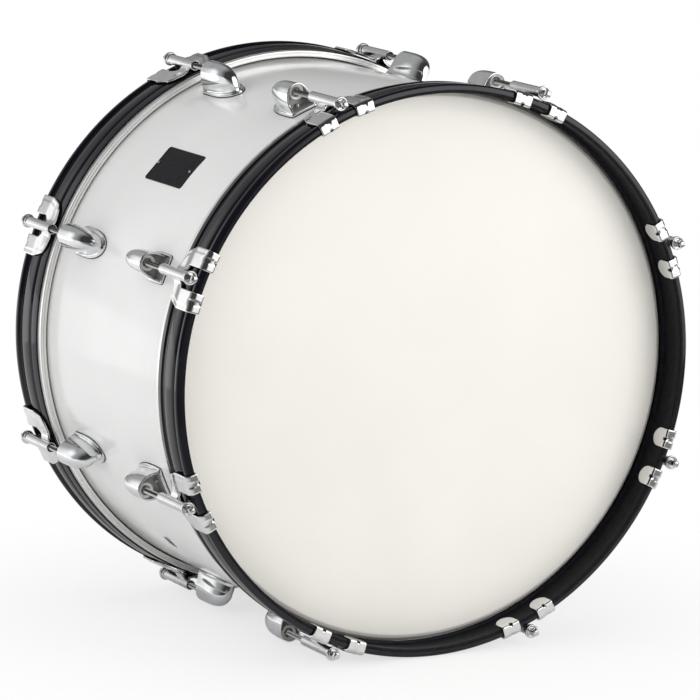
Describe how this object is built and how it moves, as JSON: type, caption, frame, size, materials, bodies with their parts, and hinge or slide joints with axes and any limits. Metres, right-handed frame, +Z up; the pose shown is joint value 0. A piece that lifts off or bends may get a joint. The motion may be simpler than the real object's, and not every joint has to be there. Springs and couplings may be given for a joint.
{
  "type": "marching bass drum",
  "caption": "Marching bass drum on its side: wrapped wood shell, two heads in flesh hoops, black counter hoops held by claws, key rods and bullet lugs.",
  "frame": {"origin": "on the floor, under the middle of the drum, which lies on its side on its two counter hoops", "axes": "+Y along the drum's axis towards the rear head, -Y out of the front head, +Z up, +X to the right as seen from the front head"},
  "size_m": [0.58, 0.405, 0.58],
  "materials": {
    "maple_ply": "sealed maple plies, satin",
    "white_wrap": "glossy plain white wrap",
    "head_film": "coated smooth white film, satin",
    "flesh_hoop": "plain drawn aluminium",
    "black_hoop": "gloss black lacquer",
    "chrome": "polished chrome plate",
    "rod_steel": "plated steel, threaded",
    "badge_plate": "black lacquered plate, left bare"
  },
  "bodies": {
    "drum": {"shell": "maple_ply", "shell_wrap": "white_wrap", "badge": "badge_plate", "vent_grommet": "chrome", "front_head_film": "head_film", "front_flesh_hoop": "flesh_hoop", "front_lug_1": "chrome", "front_lug_2": "chrome", "front_lug_3": "chrome", "front_lug_4": "chrome", "front_lug_5": "chrome", "front_lug_6": "chrome", "front_lug_7": "chrome", "front_lug_8": "chrome", "rear_head_film": "head_film", "rear_flesh_hoop": "flesh_hoop", "rear_lug_1": "chrome", "rear_lug_2": "chrome", "rear_lug_3": "chrome", "rear_lug_4": "chrome", "rear_lug_5": "chrome", "rear_lug_6": "chrome", "rear_lug_7": "chrome", "rear_lug_8": "chrome"},
    "front_rod_1": {"front_tension_rod_1": "rod_steel"},
    "front_rod_2": {"front_tension_rod_2": "rod_steel"},
    "front_rod_3": {"front_tension_rod_3": "rod_steel"},
    "front_rod_4": {"front_tension_rod_4": "rod_steel"},
    "front_rod_5": {"front_tension_rod_5": "rod_steel"},
    "front_rod_6": {"front_tension_rod_6": "rod_steel"},
    "front_rod_7": {"front_tension_rod_7": "rod_steel"},
    "front_rod_8": {"front_tension_rod_8": "rod_steel"},
    "front_hoop": {"front_counter_hoop": "black_hoop", "front_claw_1": "chrome", "front_claw_2": "chrome", "front_claw_3": "chrome", "front_claw_4": "chrome", "front_claw_5": "chrome", "front_claw_6": "chrome", "front_claw_7": "chrome", "front_claw_8": "chrome"},
    "rear_rod_1": {"rear_tension_rod_1": "rod_steel"},
    "rear_rod_2": {"rear_tension_rod_2": "rod_steel"},
    "rear_rod_3": {"rear_tension_rod_3": "rod_steel"},
    "rear_rod_4": {"rear_tension_rod_4": "rod_steel"},
    "rear_rod_5": {"rear_tension_rod_5": "rod_steel"},
    "rear_rod_6": {"rear_tension_rod_6": "rod_steel"},
    "rear_rod_7": {"rear_tension_rod_7": "rod_steel"},
    "rear_rod_8": {"rear_tension_rod_8": "rod_steel"},
    "rear_hoop": {"rear_counter_hoop": "black_hoop", "rear_claw_1": "chrome", "rear_claw_2": "chrome", "rear_claw_3": "chrome", "rear_claw_4": "chrome", "rear_claw_5": "chrome", "rear_claw_6": "chrome", "rear_claw_7": "chrome", "rear_claw_8": "chrome"}
  },
  "joints": [
    {"name": "front_hoop_slide", "type": "slide", "parent": "drum", "child": "front_hoop", "axis": [0, -1, 0], "range_m": [0, 0.01]},
    {"name": "front_rod_1_turn", "type": "hinge", "parent": "front_hoop", "child": "front_rod_1", "pos_m": [-0.11423, -0.19, 0.56578], "axis": [0, -1, 0], "range_deg": [-10, 3420]},
    {"name": "front_rod_2_turn", "type": "hinge", "parent": "front_hoop", "child": "front_rod_2", "pos_m": [-0.27578, -0.19, 0.40423], "axis": [0, -1, 0], "range_deg": [-10, 3420]},
    {"name": "front_rod_3_turn", "type": "hinge", "parent": "front_hoop", "child": "front_rod_3", "pos_m": [-0.27578, -0.19, 0.17577], "axis": [0, -1, 0], "range_deg": [-10, 3420]},
    {"name": "front_rod_4_turn", "type": "hinge", "parent": "front_hoop", "child": "front_rod_4", "pos_m": [-0.11423, -0.19, 0.01422], "axis": [0, -1, 0], "range_deg": [-10, 3420]},
    {"name": "front_rod_5_turn", "type": "hinge", "parent": "front_hoop", "child": "front_rod_5", "pos_m": [0.11423, -0.19, 0.01422], "axis": [0, -1, 0], "range_deg": [-10, 3420]},
    {"name": "front_rod_6_turn", "type": "hinge", "parent": "front_hoop", "child": "front_rod_6", "pos_m": [0.27578, -0.19, 0.17577], "axis": [0, -1, 0], "range_deg": [-10, 3420]},
    {"name": "front_rod_7_turn", "type": "hinge", "parent": "front_hoop", "child": "front_rod_7", "pos_m": [0.27578, -0.19, 0.40423], "axis": [0, -1, 0], "range_deg": [-10, 3420]},
    {"name": "front_rod_8_turn", "type": "hinge", "parent": "front_hoop", "child": "front_rod_8", "pos_m": [0.11423, -0.19, 0.56578], "axis": [0, -1, 0], "range_deg": [-10, 3420]},
    {"name": "rear_hoop_slide", "type": "slide", "parent": "drum", "child": "rear_hoop", "axis": [0, 1, 0], "range_m": [0, 0.01]},
    {"name": "rear_rod_1_turn", "type": "hinge", "parent": "rear_hoop", "child": "rear_rod_1", "pos_m": [0.11423, 0.19, 0.56578], "axis": [0, 1, 0], "range_deg": [-10, 3420]},
    {"name": "rear_rod_2_turn", "type": "hinge", "parent": "rear_hoop", "child": "rear_rod_2", "pos_m": [0.27578, 0.19, 0.40423], "axis": [0, 1, 0], "range_deg": [-10, 3420]},
    {"name": "rear_rod_3_turn", "type": "hinge", "parent": "rear_hoop", "child": "rear_rod_3", "pos_m": [0.27578, 0.19, 0.17577], "axis": [0, 1, 0], "range_deg": [-10, 3420]},
    {"name": "rear_rod_4_turn", "type": "hinge", "parent": "rear_hoop", "child": "rear_rod_4", "pos_m": [0.11423, 0.19, 0.01422], "axis": [0, 1, 0], "range_deg": [-10, 3420]},
    {"name": "rear_rod_5_turn", "type": "hinge", "parent": "rear_hoop", "child": "rear_rod_5", "pos_m": [-0.11423, 0.19, 0.01422], "axis": [0, 1, 0], "range_deg": [-10, 3420]},
    {"name": "rear_rod_6_turn", "type": "hinge", "parent": "rear_hoop", "child": "rear_rod_6", "pos_m": [-0.27578, 0.19, 0.17577], "axis": [0, 1, 0], "range_deg": [-10, 3420]},
    {"name": "rear_rod_7_turn", "type": "hinge", "parent": "rear_hoop", "child": "rear_rod_7", "pos_m": [-0.27578, 0.19, 0.40423], "axis": [0, 1, 0], "range_deg": [-10, 3420]},
    {"name": "rear_rod_8_turn", "type": "hinge", "parent": "rear_hoop", "child": "rear_rod_8", "pos_m": [-0.11423, 0.19, 0.56578], "axis": [0, 1, 0], "range_deg": [-10, 3420]}
  ],
  "couplings": [
    {"joint": "front_rod_1_turn", "follows": "front_hoop_slide", "rad_per_m": 5936.9},
    {"joint": "front_rod_2_turn", "follows": "front_hoop_slide", "rad_per_m": 5936.9},
    {"joint": "front_rod_3_turn", "follows": "front_hoop_slide", "rad_per_m": 5936.9},
    {"joint": "front_rod_4_turn", "follows": "front_hoop_slide", "rad_per_m": 5936.9},
    {"joint": "front_rod_5_turn", "follows": "front_hoop_slide", "rad_per_m": 5936.9},
    {"joint": "front_rod_6_turn", "follows": "front_hoop_slide", "rad_per_m": 5936.9},
    {"joint": "front_rod_7_turn", "follows": "front_hoop_slide", "rad_per_m": 5936.9},
    {"joint": "front_rod_8_turn", "follows": "front_hoop_slide", "rad_per_m": 5936.9},
    {"joint": "rear_rod_1_turn", "follows": "rear_hoop_slide", "rad_per_m": 5936.9},
    {"joint": "rear_rod_2_turn", "follows": "rear_hoop_slide", "rad_per_m": 5936.9},
    {"joint": "rear_rod_3_turn", "follows": "rear_hoop_slide", "rad_per_m": 5936.9},
    {"joint": "rear_rod_4_turn", "follows": "rear_hoop_slide", "rad_per_m": 5936.9},
    {"joint": "rear_rod_5_turn", "follows": "rear_hoop_slide", "rad_per_m": 5936.9},
    {"joint": "rear_rod_6_turn", "follows": "rear_hoop_slide", "rad_per_m": 5936.9},
    {"joint": "rear_rod_7_turn", "follows": "rear_hoop_slide", "rad_per_m": 5936.9},
    {"joint": "rear_rod_8_turn", "follows": "rear_hoop_slide", "rad_per_m": 5936.9}
  ]
}
